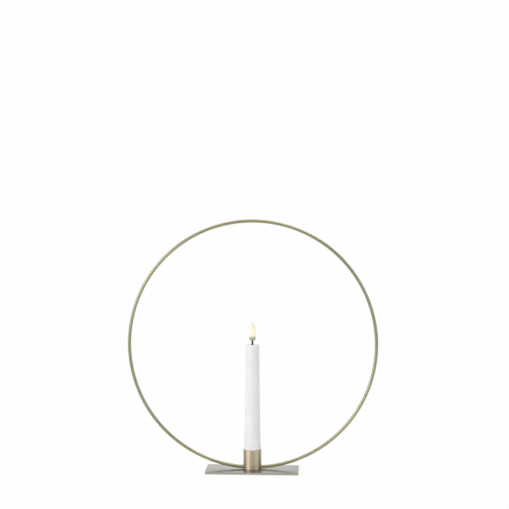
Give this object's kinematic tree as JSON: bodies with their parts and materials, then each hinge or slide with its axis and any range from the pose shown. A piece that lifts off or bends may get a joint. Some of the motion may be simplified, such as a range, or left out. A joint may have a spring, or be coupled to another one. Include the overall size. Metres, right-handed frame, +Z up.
{
  "type": "led candlestick",
  "caption": "Round rod hoop standing on a flat base plate, with a turned cup that holds a battery-lit wax taper with a flame-shaped tip.",
  "frame": {"origin": "on the surface that the candlestick stands on, under the middle of the base plate", "axes": "+Z up, +X along the base plate and across the hoop, -Y the front"},
  "size_m": [0.35, 0.05, 0.3539],
  "materials": {
    "champagne_metal": "satin champagne plating",
    "screw_steel": "zinc plated",
    "pad_foam": "dull foam rubber",
    "white_plastic": "moulded, fine matt",
    "black_plastic": "moulded, matt",
    "contact_nickel": "bright nickel plating",
    "battery_can": "plain printed sleeve over a metal can",
    "wax": "smooth wax with a soft sheen",
    "circuit_board": "solder mask",
    "resistor_body": "lacquered",
    "red_insulation": "wire insulation",
    "led_strip": "white solder mask",
    "led_glow": "lit LED",
    "flame_silicone": "translucent silicone, lit from inside"
  },
  "bodies": {
    "holder": {"base_plate": "champagne_metal", "hoop": "champagne_metal", "cup": "champagne_metal", "cup_screw": "screw_steel", "pad_front_left": "pad_foam", "pad_front_right": "pad_foam", "pad_back_left": "pad_foam", "pad_back_right": "pad_foam"},
    "battery_base": {"bottom_cap": "white_plastic", "slide_switch": "black_plastic", "battery_carrier": "white_plastic", "contact_strip": "contact_nickel", "spring_plate": "contact_nickel", "battery_spring": "contact_nickel", "battery_lower": "battery_can", "battery_upper": "battery_can"},
    "switch_knob": {"switch_knob": "black_plastic"},
    "candle_top": {"wax_shell": "wax", "inner_tube": "white_plastic", "contact_disc": "white_plastic", "positive_contact": "contact_nickel", "negative_contact": "contact_nickel", "positive_lead": "red_insulation", "negative_lead": "black_plastic", "circuit_board": "circuit_board", "flicker_chip": "black_plastic", "led_resistor": "resistor_body", "led_strip": "led_strip", "led": "led_glow", "wick": "black_plastic", "flame": "flame_silicone"}
  },
  "joints": [
    {"name": "candle_lift", "type": "slide", "parent": "holder", "child": "battery_base", "axis": [0, 0, 1], "range_m": [0, 0.024]},
    {"name": "shell_pull", "type": "slide", "parent": "battery_base", "child": "candle_top", "axis": [0, 0, 1], "range_m": [0, 0.106]},
    {"name": "switch_slide", "type": "slide", "parent": "battery_base", "child": "switch_knob", "axis": [1, 0, 0], "range_m": [0, 0.003]}
  ]
}
